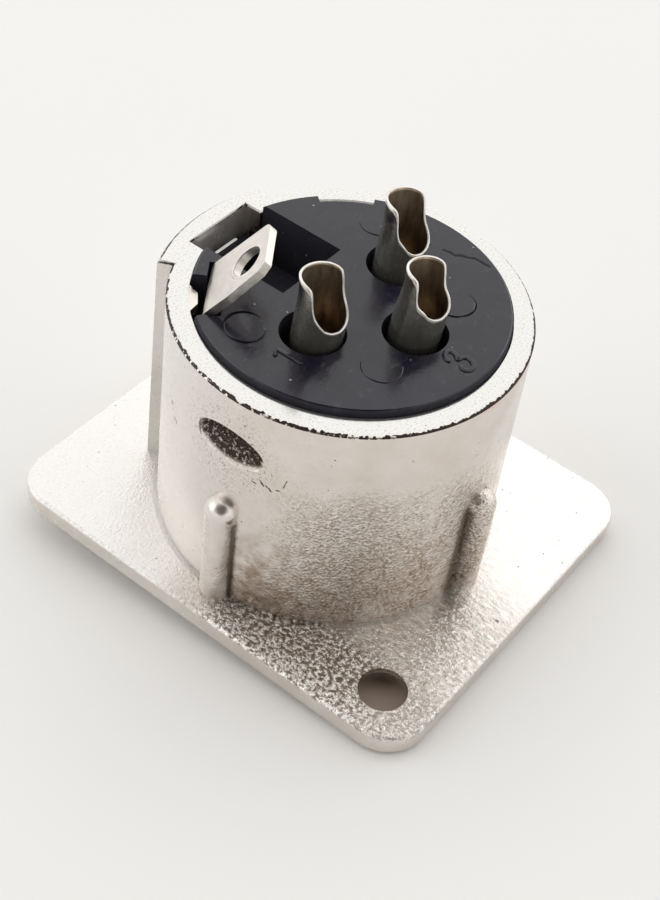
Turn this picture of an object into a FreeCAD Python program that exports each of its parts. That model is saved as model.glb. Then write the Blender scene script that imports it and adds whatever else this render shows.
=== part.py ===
import FreeCAD, Part
import math
import os

# Panel socket for a three pole round audio connector, solder cups upward
# Units are millimetres, +Z points to the solder side
# Origin: bore axis on the rear face of the flange, the face that meets the panel
# +Y points to the latch side, X runs along the short side of the flange

# Flange
FLANGE_X = 26.0
FLANGE_Y = 31.0
FLANGE_T = 1.5
FLANGE_CORNER_R = 2.8
FLANGE_EDGE_R = 0.25
SCREW_FROM_SIDE = 3.1
SCREW_FROM_END = 3.4
SCREW_R = 1.5
SCREW_HEAD_STEP = 1.1
SCREW_X = FLANGE_X / 2.0 - SCREW_FROM_SIDE
SCREW_Y = FLANGE_Y / 2.0 - SCREW_FROM_END

# Round body of the shell
BODY_BASE_R = 10.8
BODY_DRAFT = 0.14
BODY_RIM_R = BODY_BASE_R - BODY_DRAFT
RIM_Z = 16.4
RIM_EDGE = 0.22
WALL_T = 1.2
BORE_R = BODY_BASE_R - WALL_T
BORE_MOUTH = 0.5
SEAT_STEP = 0.22
SEAT_R = BORE_R - SEAT_STEP
LEDGE_STEP = 0.7
LEDGE_R = BORE_R - LEDGE_STEP
LEDGE_T = 0.6
SEAT_DEPTH = 3.9
SEAT_Z = RIM_Z - SEAT_DEPTH
LEDGE_Z = SEAT_Z - LEDGE_T

# Raised sector that houses the latch
BULGE_OUT = 1.1
BULGE_DRAFT = 0.3
BULGE_BASE_R = BODY_BASE_R + BULGE_OUT
BULGE_RIM_R = BULGE_BASE_R - BULGE_DRAFT
BULGE_FROM_DEG = 67.0
BULGE_TO_DEG = 116.0
BULGE_EDGE = 0.32

# Channel for the latch, open to the bore
CHANNEL_HALF_X = 2.6
CHANNEL_OUT = 0.6
CHANNEL_Y = BORE_R + CHANNEL_OUT
DEEP_HALF_X = 2.25
DEEP_OUT = 1.5
DEEP_Y = BORE_R + DEEP_OUT
DEEP_Z = 9.2
GROOVE_OUT = 1.75
GROOVE_Y = BORE_R + GROOVE_OUT
GROOVE_GAP = 0.15

# Crush ribs that centre the body in the panel cut-out
RIB_DEGS = (180.0, 270.0, 0.0)
RIB_R = 1.05
RIB_OUT = 1.0
RIB_CREST_R = BODY_BASE_R + RIB_OUT
RIB_TOP_Z = 8.3

# Inward keys below the rim
KEY_STEP = 0.53
KEY_R = SEAT_R - KEY_STEP
KEY_A_FROM_DEG = 124.0
KEY_A_TO_DEG = 138.0
KEY_A_FLANK_DEG = 4.0
KEY_B_FROM_DEG = 43.0
KEY_B_TO_DEG = 50.0
KEY_B_FLANK_DEG = 1.0
KEY_DROP = 0.25

# Stake dent that locks the insert
DENT_DEG = 180.0
DENT_HALF_W = 2.35
DENT_HALF_H = 1.42
DENT_DEPTH = 1.0
DENT_BELOW_RIM = 3.9
DENT_Z = RIM_Z - DENT_BELOW_RIM
STAKE_HALF_W = 1.5
STAKE_H = 0.8
STAKE_LIFT = 0.6
STAKE_Z = SEAT_Z + STAKE_LIFT
STAKE_STEP = 0.43
STAKE_R = SEAT_R - STAKE_STEP
STAKE_GAP = 0.1
STAKE_EDGE_R = 0.2

# Moulded insert
INSERT_GAP = 0.08
FACE_PROUD = 0.45
INSERT_FACE_Z = RIM_Z + FACE_PROUD
INSERT_EDGE = 0.15
SOCKET_GAP = 1.85
NOSE_R = BORE_R - SOCKET_GAP
NOSE_SINK = 0.3
NOSE_Z = NOSE_SINK - FLANGE_T
NOSE_EDGE = 0.5
NOSE_KEY_HALF_X = 1.5
NOSE_KEY_DEPTH = 1.0
POCKET_HALF_X = 2.7
POCKET_Y0 = 3.0
POCKET_END = 0.75
POCKET_Y1 = SEAT_R - POCKET_END
POCKET_DEPTH = 3.95
POCKET_FLOOR_Z = INSERT_FACE_Z - POCKET_DEPTH
LUG_SIDE_GAP = 0.2
LUG_HALF_X = CHANNEL_HALF_X - LUG_SIDE_GAP
LUG_END_GAP = 0.3
LUG_Y = CHANNEL_Y - LUG_END_GAP
LUG_DROP = 2.55
LUG_Z = INSERT_FACE_Z - LUG_DROP
KEY_SLOT_GAP = 0.25
KEY_SLOT_SIDE_DEG = 1.0
KEY_SLOT_WIDE_DEG = 14.0
KEY_SLOT_TAG_DEG = 7.0
EJECTOR_R = 1.15
EJECTOR_DEPTH = 0.1
EJECTOR_FAR_X = 6.3
EJECTOR_FAR_Y = 2.9
EJECTOR_NEAR_X = 3.65
EJECTOR_NEAR_Y = 4.75

# Contacts
SIDE_CONTACT_X = 4.07
SIDE_CONTACT_Y = 0.25
LOW_CONTACT_Y = 4.4
CONTACTS = (
    (-SIDE_CONTACT_X, -SIDE_CONTACT_Y),
    (SIDE_CONTACT_X, -SIDE_CONTACT_Y),
    (0.0, -LOW_CONTACT_Y),
)
PIN_R = 1.2
SLEEVE_WALL = 0.35
SLEEVE_R = PIN_R + SLEEVE_WALL
SLEEVE_SINK = 0.6
SLEEVE_Z = NOSE_Z + SLEEVE_SINK
SLEEVE_DEPTH = 11.2
SLEEVE_SLOT = 0.35
SLEEVE_SLOT_DEPTH = 7.1
SLEEVE_GAP = 0.07
ENTRY_GAP = 0.15
ENTRY_MOUTH = 0.45
WELL_WALL_GAP = 0.48
WELL_LEDGE = 0.5
WELL_Z = LEDGE_Z + WELL_LEDGE
COLLAR_T = 0.9
COLLAR_GAP = 0.04
CUP_R = 1.45
WELL_R = CUP_R + WELL_WALL_GAP
CUP_WALL = 0.2
CUP_FLOOR_DROP = 1.05
CUP_FLOOR_Z = INSERT_FACE_Z - CUP_FLOOR_DROP
CUP_LIP_OUT = 1.15
CUP_LIP_Z = INSERT_FACE_Z + CUP_LIP_OUT
CUP_OUT = 4.5
CUP_TOP_Z = INSERT_FACE_Z + CUP_OUT
SCOOP_R = 2.9
SCOOP_FROM_AXIS = 0.15
SCOOP_DEG = -90.0
CUP_HORN_R = 0.4

# Ground tag
TAG_T = 0.5
TAG_W = 4.3
TAG_DEG = 123.6
TAG_INSET = 1.07
TAG_FACE_N = SEAT_R - TAG_INSET
TAG_SHIFT = 0.92
TAG_FOOT_LIFT = 0.6
TAG_FOOT_Z = SEAT_Z + TAG_FOOT_LIFT
TAG_BEND_DROP = 0.55
TAG_BEND_Z = INSERT_FACE_Z - TAG_BEND_DROP
TAG_BEND_R = 0.5
TAG_LEAN_DEG = 40.6
TAG_LEN = 4.55
TAG_HOLE_R = 1.05
TAG_HOLE_AT = 2.92
TAG_HOLE_SIDE = 0.1
TAG_TAPER = 0.35
TAG_TAPER_FROM = 1.6
TAG_BEVEL = 0.45
TAG_CORNER_R = 0.5
TAG_SLOT_GAP = 0.12

# Latch lever
LATCH_RUN_GAP = 0.15
HINGE_OUT = 3.7
HINGE_Y = BORE_R + HINGE_OUT
HINGE_SINK = 0.55
HINGE_Z = HINGE_SINK - FLANGE_T
HINGE_PIN_R = 0.3
HINGE_RUN_GAP = 0.04
HINGE_SEAT_GAP = 0.015
HINGE_EAR_R = 0.5
HINGE_SEAT_LEN = 1.3
PAD_HALF_X = 3.2
PAD_GAP = 0.2
PAD_INNER_Y = BORE_R + LATCH_RUN_GAP
PAD_PROUD = 1.4
PAD_FRONT_Z = -FLANGE_T - PAD_PROUD
PAD_T = 2.05
PAD_REAR_Z = PAD_FRONT_Z + PAD_T
PAD_EDGE_R = 0.45
ROOF_T = 0.28
ROOF_Z = -ROOF_T
HINGE_PIN_HALF = PAD_HALF_X + PAD_GAP + HINGE_SEAT_LEN
ARM_HALF_X = 1.95
ARM_ROOT_T = 0.5
ARM_TIP_T = 0.38
ARM_STRAIGHT = 0.5
ARM_TOP_Z = 7.3
HOOK_HALF_X = 1.7
HOOK_REACH = 0.65
HOOK_TIP_Y = BORE_R - HOOK_REACH
HOOK_DROP = 0.4
HOOK_FLAT = 1.0
HOOK_RAMP = 1.3
HOOK_Z1 = ARM_TOP_Z - HOOK_DROP
HOOK_CREST_Z = HOOK_Z1 - HOOK_FLAT
HOOK_Z0 = HOOK_CREST_Z - HOOK_RAMP
HOOK_ROOT = 0.1

# Leaf spring behind the lever
SPRING_T = 0.2
SPRING_HALF_X = 0.95
SPRING_TAIL_INSET = 0.2
SPRING_TAIL_Y = BORE_R - SPRING_TAIL_INSET
SPRING_TAIL_OUT = 0.7
SPRING_TAIL_Z = LUG_Z + SPRING_TAIL_OUT
SPRING_STRAIGHT_LIFT = 0.1
SPRING_STRAIGHT_Z = SEAT_Z + SPRING_STRAIGHT_LIFT
SPRING_KNEE_LIFT = 0.4
SPRING_KNEE_Z = DEEP_Z + SPRING_KNEE_LIFT
SPRING_BACK_OUT = 1.55
SPRING_BACK_Y = BORE_R + SPRING_BACK_OUT
SPRING_LOW_Z = 1.2
SPRING_FOOT_SHIFT = 0.3
SPRING_FOOT_Y = SPRING_BACK_Y - SPRING_FOOT_SHIFT
SPRING_SEAT_GAP = 0.02
SPRING_SLOT_SIDE_GAP = 0.05
SPRING_SLOT_INNER = 0.3
SPRING_SLOT_OUTER = 0.15

# Cushion ring at the bottom of the bore
RING_T = 1.0
RING_GAP = 0.05

# Lengths that only carry a cut past the surface it goes through
PAST = 1.0
CLEAR = FLANGE_X

UP = FreeCAD.Vector(0, 0, 1)
ALONG_X = FreeCAD.Vector(1, 0, 0)
ALONG_Y = FreeCAD.Vector(0, 1, 0)
ORIGIN = FreeCAD.Vector(0, 0, 0)


def vec(x, y, z):
    return FreeCAD.Vector(x, y, z)


def post(radius, z0, z1, x=0.0, y=0.0):
    return Part.makeCylinder(radius, z1 - z0, vec(x, y, z0), UP)


def taper(r0, r1, z0, z1, x=0.0, y=0.0):
    return Part.makeCone(r0, r1, z1 - z0, vec(x, y, z0), UP)


def block(x0, x1, y0, y1, z0, z1):
    return Part.makeBox(x1 - x0, y1 - y0, z1 - z0, vec(x0, y0, z0))


def turned(shape, deg):
    shape.rotate(ORIGIN, UP, deg)
    return shape


def rod_x(radius, half_x, y, z):
    return Part.makeCylinder(radius, 2.0 * half_x, vec(-half_x, y, z), ALONG_X)


def sector(r0, r1, z0, z1, from_deg, to_deg):
    sweep = to_deg - from_deg
    outer = Part.makeCylinder(r1, z1 - z0, vec(0, 0, z0), UP, sweep)
    inner = post(r0, z0 - PAST, z1 + PAST)
    return turned(outer.cut(inner), from_deg)


def prism_x(points, half_x):
    corners = [vec(-half_x, y, z) for y, z in points]
    corners.append(corners[0])
    face = Part.Face(Part.makePolygon(corners))
    return face.extrude(vec(2.0 * half_x, 0, 0))


def prism_y(points, half_y):
    corners = [vec(x, -half_y, z) for x, z in points]
    corners.append(corners[0])
    face = Part.Face(Part.makePolygon(corners))
    return face.extrude(vec(0, 2.0 * half_y, 0))


def upright_edges(shape):
    found = []
    for edge in shape.Edges:
        box = edge.BoundBox
        if box.ZLength > FLANGE_T / 2.0 and max(box.XLength, box.YLength) < FLANGE_T / 2.0:
            found.append(edge)
    return found


def flange_plate():
    half_x = FLANGE_X / 2.0
    half_y = FLANGE_Y / 2.0
    plate = block(-half_x, half_x, -half_y, half_y, -FLANGE_T, 0.0)
    plate = plate.makeFillet(FLANGE_CORNER_R, upright_edges(plate))
    rims = [e for e in plate.Edges if e.BoundBox.ZLength < FLANGE_T / 2.0]
    return plate.makeFillet(FLANGE_EDGE_R, rims)


def screw_hole(x, y):
    hole = post(SCREW_R, -FLANGE_T - PAST, PAST, x, y)
    head_r = SCREW_R + SCREW_HEAD_STEP
    sink = taper(head_r, SCREW_R, -FLANGE_T, -FLANGE_T + SCREW_HEAD_STEP, x, y)
    return hole.fuse(sink)


def body_wall():
    wall = taper(BODY_BASE_R, BODY_RIM_R, 0.0, RIM_Z - RIM_EDGE)
    return wall.fuse(taper(BODY_RIM_R, BODY_RIM_R - RIM_EDGE, RIM_Z - RIM_EDGE, RIM_Z))


def latch_bulge():
    sweep = BULGE_TO_DEG - BULGE_FROM_DEG
    low = RIM_Z - BULGE_EDGE
    main = Part.makeCone(BULGE_BASE_R, BULGE_RIM_R, low, ORIGIN, UP, sweep)
    edge = Part.makeCone(BULGE_RIM_R, BULGE_RIM_R - BULGE_EDGE, BULGE_EDGE, vec(0, 0, low), UP, sweep)
    return turned(main.fuse(edge), BULGE_FROM_DEG)


def crush_rib(deg):
    centre = RIB_CREST_R - RIB_R
    dome_z = RIB_TOP_Z - RIB_R
    rib = post(RIB_R, -FLANGE_T / 2.0, dome_z, centre, 0.0)
    rib = rib.fuse(Part.makeSphere(RIB_R, vec(centre, 0, dome_z)))
    return turned(rib, deg)


# The dent is a lens in outline, its floor slopes in from below and ends at a steep upper wall
def stake_dent():
    face_r = BODY_BASE_R
    low = DENT_Z - DENT_HALF_H
    high = DENT_Z + DENT_HALF_H
    deep = face_r - DENT_DEPTH
    shoulder = DENT_Z + 2.0 * DENT_HALF_H / 3.0
    lip = face_r - DENT_DEPTH / 4.0
    profile = [(face_r, low), (deep, shoulder), (lip, high), (face_r + PAST, high), (face_r + PAST, low)]
    prism = prism_y(profile, DENT_HALF_W)
    start = deep - PAST
    centre = vec(start, 0, DENT_Z)
    lens = Part.Ellipse(vec(start, DENT_HALF_W, DENT_Z), vec(start, 0, high), centre)
    tube = Part.Face(Part.Wire([lens.toShape()])).extrude(vec(DENT_DEPTH + 2.0 * PAST, 0, 0))
    return turned(prism.common(tube), DENT_DEG)


def latch_window():
    x = PAD_HALF_X + PAD_GAP
    outer_y = HINGE_Y + HINGE_EAR_R + PAD_GAP
    pocket = block(-x, x, NOSE_R, outer_y, -FLANGE_T - PAST, ROOF_Z)
    return pocket.fuse(rod_x(HINGE_PIN_R + HINGE_SEAT_GAP, HINGE_PIN_HALF, HINGE_Y, HINGE_Z))


def latch_channel():
    low = -FLANGE_T - PAST
    full = block(-CHANNEL_HALF_X, CHANNEL_HALF_X, NOSE_R, CHANNEL_Y, low, RIM_Z + PAST)
    deep = block(-DEEP_HALF_X, DEEP_HALF_X, NOSE_R, DEEP_Y, low, DEEP_Z)
    half = SPRING_HALF_X + GROOVE_GAP
    end = LEDGE_Z + LEDGE_T / 4.0
    points = [(NOSE_R, low), (GROOVE_Y, low), (GROOVE_Y, SPRING_KNEE_Z), (CHANNEL_Y, end), (NOSE_R, end)]
    return full.fuse(deep).fuse(prism_x(points, half))


def bore_and_seat():
    low = -FLANGE_T
    bore = post(BORE_R, low - PAST, LEDGE_Z)
    mouth = taper(BORE_R + BORE_MOUTH, BORE_R, low, low + BORE_MOUTH)
    throat = post(LEDGE_R, LEDGE_Z - PAST, SEAT_Z + PAST)
    seat = post(SEAT_R, SEAT_Z, RIM_Z + PAST)
    return bore.fuse(mouth).fuse(throat).fuse(seat)


# Each key is wide at the seat and narrower at its tip
def key_block(outer, z0, z1, from_deg, to_deg, flank):
    tip = [(KEY_R, from_deg + flank), (KEY_R, to_deg - flank)]
    foot = [(SEAT_R, to_deg), (outer, to_deg), (outer, from_deg), (SEAT_R, from_deg)]
    points = []
    for r, deg in tip + foot:
        a = math.radians(deg)
        points.append(vec(r * math.cos(a), r * math.sin(a), z0))
    points.append(points[0])
    return Part.Face(Part.makePolygon(points)).extrude(vec(0, 0, z1 - z0))


def shell_keys():
    z0 = SEAT_Z - LEDGE_T / 2.0
    z1 = RIM_Z - KEY_DROP
    outer = BORE_R + WALL_T / 2.0
    first = key_block(outer, z0, z1, KEY_A_FROM_DEG, KEY_A_TO_DEG, KEY_A_FLANK_DEG)
    second = key_block(outer, z0, z1, KEY_B_FROM_DEG, KEY_B_TO_DEG, KEY_B_FLANK_DEG)
    return first.fuse(second)


def stake_block(gap, outer):
    half = STAKE_HALF_W + gap
    return block(STAKE_R - gap, outer, -half, half, STAKE_Z - gap, STAKE_Z + STAKE_H + gap)


def stake_bump():
    bump = stake_block(0.0, SEAT_R + WALL_T / 4.0)
    inner = [e for e in bump.Edges if e.BoundBox.XMax < STAKE_R + STAKE_GAP]
    return turned(bump.makeFillet(STAKE_EDGE_R, inner), DENT_DEG)


def make_shell():
    shell = flange_plate().fuse(body_wall()).fuse(latch_bulge())
    for deg in RIB_DEGS:
        shell = shell.fuse(crush_rib(deg))
    shell = shell.cut(bore_and_seat())
    shell = shell.cut(latch_channel())
    shell = shell.cut(latch_window())
    shell = shell.fuse(shell_keys())
    shell = shell.cut(stake_dent())
    shell = shell.fuse(stake_bump())
    shell = shell.cut(screw_hole(-SCREW_X, -SCREW_Y))
    shell = shell.cut(screw_hole(SCREW_X, SCREW_Y))
    return shell.removeSplitter()


# The inner wall of the slot slopes away under the leaning part of the tag
def tag_slot():
    low = TAG_FOOT_Z - TAG_SLOT_GAP
    high = INSERT_FACE_Z + PAST
    half = TAG_W / 2.0 + TAG_SLOT_GAP
    inner = TAG_FACE_N - TAG_T - TAG_SLOT_GAP
    outer = TAG_FACE_N + TAG_SLOT_GAP
    run = (high - TAG_BEND_Z) * math.tan(math.radians(TAG_LEAN_DEG))
    slope = [(inner, low), (inner, TAG_BEND_Z), (inner - run, high), (outer, high), (outer, low)]
    slot = prism_y(slope, half)
    slot.translate(vec(0, TAG_SHIFT, 0))
    return turned(slot, TAG_DEG)


def key_slot(inner, from_deg, to_deg):
    return sector(inner, SEAT_R + WALL_T, SEAT_Z - PAST, INSERT_FACE_Z + PAST, from_deg, to_deg)


def contact_bore(x, y):
    entry_r = PIN_R + ENTRY_GAP
    entry = post(entry_r, NOSE_Z - PAST, SLEEVE_Z + PAST, x, y)
    mouth = taper(entry_r + ENTRY_MOUTH, entry_r, NOSE_Z, NOSE_Z + ENTRY_MOUTH, x, y)
    sleeve = post(SLEEVE_R + SLEEVE_GAP, SLEEVE_Z - SLEEVE_GAP, WELL_Z + PAST, x, y)
    well = post(WELL_R, WELL_Z, INSERT_FACE_Z + PAST, x, y)
    return entry.fuse(mouth).fuse(sleeve).fuse(well)


def ejector_marks():
    marks = []
    low = INSERT_FACE_Z - EJECTOR_DEPTH
    for sign in (-1.0, 1.0):
        marks.append(post(EJECTOR_R, low, INSERT_FACE_Z + PAST, sign * EJECTOR_FAR_X, EJECTOR_FAR_Y))
        marks.append(post(EJECTOR_R, low, INSERT_FACE_Z + PAST, sign * EJECTOR_NEAR_X, -EJECTOR_NEAR_Y))
    return marks


def insert_solid():
    disc_r = SEAT_R - INSERT_GAP
    edge_z = INSERT_FACE_Z - INSERT_EDGE
    disc = post(disc_r, SEAT_Z, edge_z)
    disc = disc.fuse(taper(disc_r, disc_r - INSERT_EDGE, edge_z, INSERT_FACE_Z))
    lug = block(-LUG_HALF_X, LUG_HALF_X, 0.0, LUG_Y, SEAT_Z, LUG_Z)
    nose = post(NOSE_R, NOSE_Z + NOSE_EDGE, SEAT_Z)
    nose = nose.fuse(taper(NOSE_R - NOSE_EDGE, NOSE_R, NOSE_Z, NOSE_Z + NOSE_EDGE))
    neck = post(LEDGE_R - INSERT_GAP, LEDGE_Z, SEAT_Z)
    return disc.fuse(lug).fuse(nose).fuse(neck)


def nose_keyway():
    y0 = NOSE_R - NOSE_KEY_DEPTH
    top = LEDGE_Z - RING_T
    return block(-NOSE_KEY_HALF_X, NOSE_KEY_HALF_X, y0, NOSE_R + PAST, NOSE_Z - PAST, top)


def spring_slot():
    half = SPRING_HALF_X + SPRING_SLOT_SIDE_GAP
    inner = SPRING_TAIL_Y - SPRING_SLOT_INNER
    outer = SPRING_TAIL_Y + SPRING_SLOT_OUTER
    low = SEAT_Z - PAST
    slot = block(-half, half, inner, outer, low, LUG_Z + PAST)
    knee = SPRING_STRAIGHT_Z + SPRING_SLOT_INNER
    points = [(inner, low), (LUG_Y + PAST, low), (LUG_Y + PAST, SPRING_STRAIGHT_Z), (outer, knee), (inner, knee)]
    return slot.fuse(prism_x(points, half))


def rear_openings():
    top = INSERT_FACE_Z + PAST
    pocket = block(-POCKET_HALF_X, POCKET_HALF_X, POCKET_Y0, POCKET_Y1, POCKET_FLOOR_Z, top)
    gate = block(-POCKET_HALF_X, POCKET_HALF_X, POCKET_Y1 - INSERT_GAP, LUG_Y + PAST, LUG_Z, top)
    side = KEY_SLOT_SIDE_DEG
    first = key_slot(TAG_FACE_N, KEY_A_FROM_DEG - side, KEY_A_TO_DEG + KEY_SLOT_TAG_DEG)
    second = key_slot(KEY_R - KEY_SLOT_GAP, KEY_B_FROM_DEG - KEY_SLOT_WIDE_DEG, KEY_B_TO_DEG + side)
    return pocket.fuse(gate).fuse(first).fuse(second)


def make_insert():
    body = insert_solid()
    body = body.cut(nose_keyway())
    body = body.cut(rear_openings())
    body = body.cut(spring_slot())
    body = body.cut(tag_slot())
    body = body.cut(turned(stake_block(STAKE_GAP, SEAT_R + WALL_T), DENT_DEG))
    for x, y in CONTACTS:
        body = body.cut(contact_bore(x, y))
    for mark in ejector_marks():
        body = body.cut(mark)
    return body.removeSplitter()


# A tube closed at its foot, cut open on one side by a round scoop with rounded tips
def solder_cup(x, y):
    cup = post(CUP_R, WELL_Z, CUP_TOP_Z)
    cup = cup.cut(post(CUP_R - CUP_WALL, CUP_FLOOR_Z, CUP_TOP_Z + PAST))
    centre_u = SCOOP_R + SCOOP_FROM_AXIS
    rise = math.sqrt(SCOOP_R ** 2 - (CUP_R - centre_u) ** 2)
    centre_z = CUP_LIP_Z + rise
    scoop = Part.makeCylinder(SCOOP_R, 4.0 * CUP_R, vec(centre_u, -2.0 * CUP_R, centre_z), ALONG_Y)
    cup = cup.cut(scoop)
    tips = [e for e in cup.Edges if e.BoundBox.ZMin > CUP_TOP_Z - CUP_WALL and e.Length < CUP_R / 2.0]
    cup = turned(cup.makeFillet(CUP_HORN_R, tips), SCOOP_DEG)
    cup.translate(vec(x, y, 0))
    return cup


def make_contact(x, y):
    top = WELL_Z + COLLAR_T
    sleeve = post(SLEEVE_R, SLEEVE_Z, top, x, y)
    collar = post(WELL_R - COLLAR_GAP, WELL_Z, top, x, y)
    body = sleeve.fuse(collar).fuse(solder_cup(x, y))
    body = body.cut(post(PIN_R, SLEEVE_Z - PAST, SLEEVE_Z + SLEEVE_DEPTH, x, y))
    half = SLEEVE_SLOT / 2.0
    reach = 2.0 * SLEEVE_R
    slot = block(x - half, x + half, y - reach, y + reach, SLEEVE_Z - PAST, SLEEVE_Z + SLEEVE_SLOT_DEPTH)
    return body.cut(slot).removeSplitter()


def tag_plate():
    half = TAG_W / 2.0
    far = TAG_LEN
    r = TAG_CORNER_R
    k = math.sqrt(0.5)
    narrow = half - TAG_TAPER
    points = [vec(0, -half, 0), vec(0, half, 0), vec(0, half, TAG_TAPER_FROM)]
    points.append(vec(0, narrow, far - TAG_BEVEL))
    points.append(vec(0, narrow - TAG_BEVEL, far))
    round_start = vec(0, r - half, far)
    round_middle = vec(0, r - half - r * k, far - r + r * k)
    round_end = vec(0, -half, far - r)
    edges = [Part.makeLine(a, b) for a, b in zip(points, points[1:])]
    edges.append(Part.makeLine(points[-1], round_start))
    edges.append(Part.Arc(round_start, round_middle, round_end).toShape())
    edges.append(Part.makeLine(round_end, points[0]))
    plate = Part.Face(Part.Wire(edges)).extrude(vec(TAG_T, 0, 0))
    eye = Part.makeCylinder(TAG_HOLE_R, 3.0 * TAG_T, vec(-TAG_T, TAG_HOLE_SIDE, TAG_HOLE_AT), ALONG_X)
    return plate.cut(eye)


def make_ground_tag():
    half = TAG_W / 2.0
    inner = TAG_FACE_N - TAG_T
    centre = vec(inner - TAG_BEND_R, 0, TAG_BEND_Z)
    leg = block(inner, TAG_FACE_N, -half, half, TAG_FOOT_Z, TAG_BEND_Z)
    corner = vec(centre.x, half, centre.z)
    bend = Part.makeCylinder(TAG_BEND_R + TAG_T, TAG_W, corner, -ALONG_Y)
    bend = bend.cut(Part.makeCylinder(TAG_BEND_R, TAG_W, corner, -ALONG_Y))
    reach = 2.0 * (TAG_BEND_R + TAG_T)
    rise = reach * math.tan(math.radians(TAG_LEAN_DEG))
    wedge = [vec(centre.x, -half, centre.z), vec(centre.x + reach, -half, centre.z)]
    wedge.append(vec(centre.x + reach, -half, centre.z + rise))
    wedge.append(wedge[0])
    bend = bend.common(Part.Face(Part.makePolygon(wedge)).extrude(vec(0, TAG_W, 0)))
    plate = tag_plate()
    plate.translate(vec(TAG_BEND_R, 0, 0))
    plate.rotate(ORIGIN, ALONG_Y, -TAG_LEAN_DEG)
    plate.translate(centre)
    tag = leg.fuse(bend).fuse(plate).removeSplitter()
    tag.translate(vec(0, TAG_SHIFT, 0))
    return turned(tag, TAG_DEG)


def make_latch_lever():
    pad = block(-PAD_HALF_X, PAD_HALF_X, PAD_INNER_Y, HINGE_Y, PAD_FRONT_Z, PAD_REAR_Z)
    front = [e for e in pad.Edges if e.BoundBox.ZMax < PAD_FRONT_Z + PAD_EDGE_R]
    pad = pad.makeFillet(PAD_EDGE_R, front)
    ear = rod_x(HINGE_EAR_R, PAD_HALF_X, HINGE_Y, HINGE_Z)
    arm_y = PAD_INNER_Y
    root_y = arm_y + ARM_ROOT_T
    low = PAD_REAR_Z - ARM_STRAIGHT
    high = PAD_REAR_Z + ARM_STRAIGHT
    points = [(arm_y, low), (root_y, low), (root_y, high), (arm_y + ARM_TIP_T, ARM_TOP_Z), (arm_y, ARM_TOP_Z)]
    arm = prism_x(points, ARM_HALF_X)
    deep_y = arm_y + HOOK_ROOT
    points = [(deep_y, HOOK_Z0), (HOOK_TIP_Y, HOOK_CREST_Z), (HOOK_TIP_Y, HOOK_Z1), (deep_y, HOOK_Z1)]
    hook = prism_x(points, HOOK_HALF_X)
    lever = pad.fuse(ear).fuse(arm).fuse(hook)
    hole = rod_x(HINGE_PIN_R + HINGE_RUN_GAP, HINGE_PIN_HALF, HINGE_Y, HINGE_Z)
    return lever.cut(hole).removeSplitter()


def make_latch_pin():
    return rod_x(HINGE_PIN_R, HINGE_PIN_HALF - HINGE_SEAT_GAP, HINGE_Y, HINGE_Z)


def make_latch_spring():
    half_t = SPRING_T / 2.0
    points = [
        (SPRING_TAIL_Y, SPRING_TAIL_Z),
        (SPRING_TAIL_Y, SPRING_STRAIGHT_Z),
        (SPRING_BACK_Y, SPRING_KNEE_Z),
        (SPRING_BACK_Y, SPRING_LOW_Z),
        (SPRING_FOOT_Y, PAD_REAR_Z + SPRING_SEAT_GAP),
    ]
    near = [(y - half_t, z) for y, z in points]
    away = [(y + half_t, z) for y, z in reversed(points)]
    return prism_x(near + away, SPRING_HALF_X)


def make_cushion_ring():
    ring = post(BORE_R - RING_GAP, LEDGE_Z - RING_T, LEDGE_Z)
    return ring.cut(post(NOSE_R + RING_GAP, LEDGE_Z - RING_T - PAST, LEDGE_Z + PAST))


def export(shape, name):
    shape.exportStep("parts/" + name + ".step")


os.makedirs("parts", exist_ok=True)
export(make_shell(), "shell")
export(make_insert(), "insert")
for number, (contact_x, contact_y) in enumerate(CONTACTS, start=1):
    export(make_contact(contact_x, contact_y), "contact_" + str(number))
export(make_ground_tag(), "ground_tag")
export(make_latch_lever(), "latch_lever")
export(make_latch_pin(), "latch_pin")
export(make_latch_spring(), "latch_spring")
export(make_cushion_ring(), "cushion_ring")
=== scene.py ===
import bpy
import bmesh
import math
from types import SimpleNamespace
from mathutils import Matrix, Vector


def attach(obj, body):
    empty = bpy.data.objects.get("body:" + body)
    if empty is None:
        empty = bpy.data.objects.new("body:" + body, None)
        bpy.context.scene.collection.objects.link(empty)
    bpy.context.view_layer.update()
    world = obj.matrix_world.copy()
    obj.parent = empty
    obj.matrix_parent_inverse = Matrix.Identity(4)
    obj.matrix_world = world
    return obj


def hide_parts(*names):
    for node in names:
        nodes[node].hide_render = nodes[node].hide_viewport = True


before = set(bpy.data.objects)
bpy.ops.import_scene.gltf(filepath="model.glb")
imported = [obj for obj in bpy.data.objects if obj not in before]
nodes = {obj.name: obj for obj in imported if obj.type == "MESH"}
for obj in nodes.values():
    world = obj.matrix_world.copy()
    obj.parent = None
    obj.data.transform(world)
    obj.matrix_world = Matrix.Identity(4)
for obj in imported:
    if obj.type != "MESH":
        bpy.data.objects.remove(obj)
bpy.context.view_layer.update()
MM = 0.001

# Direction from the object to the camera
AZ = math.radians(-58.35)
EL = math.radians(46.48)
ROLL = math.radians(8.51)
BACK = Vector((math.sin(AZ) * math.cos(EL), -math.cos(AZ) * math.cos(EL), math.sin(EL)))


# Node helpers
def new_material(name):
    mat = bpy.data.materials.new(name)
    mat.use_nodes = True
    tree = mat.node_tree
    shader = tree.nodes["Principled BSDF"]
    return mat, tree, shader


def link(tree, a, b):
    tree.links.new(a, b)


def mm_coords(tree, stretch=(1.0, 1.0, 1.0)):
    """Object coordinates in millimetres, stretched where a grain runs one way."""
    coords = tree.nodes.new("ShaderNodeTexCoord")
    mapping = tree.nodes.new("ShaderNodeMapping")
    mapping.inputs["Scale"].default_value = tuple(1000.0 * s for s in stretch)
    link(tree, coords.outputs["Object"], mapping.inputs["Vector"])
    return mapping.outputs["Vector"]


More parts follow.
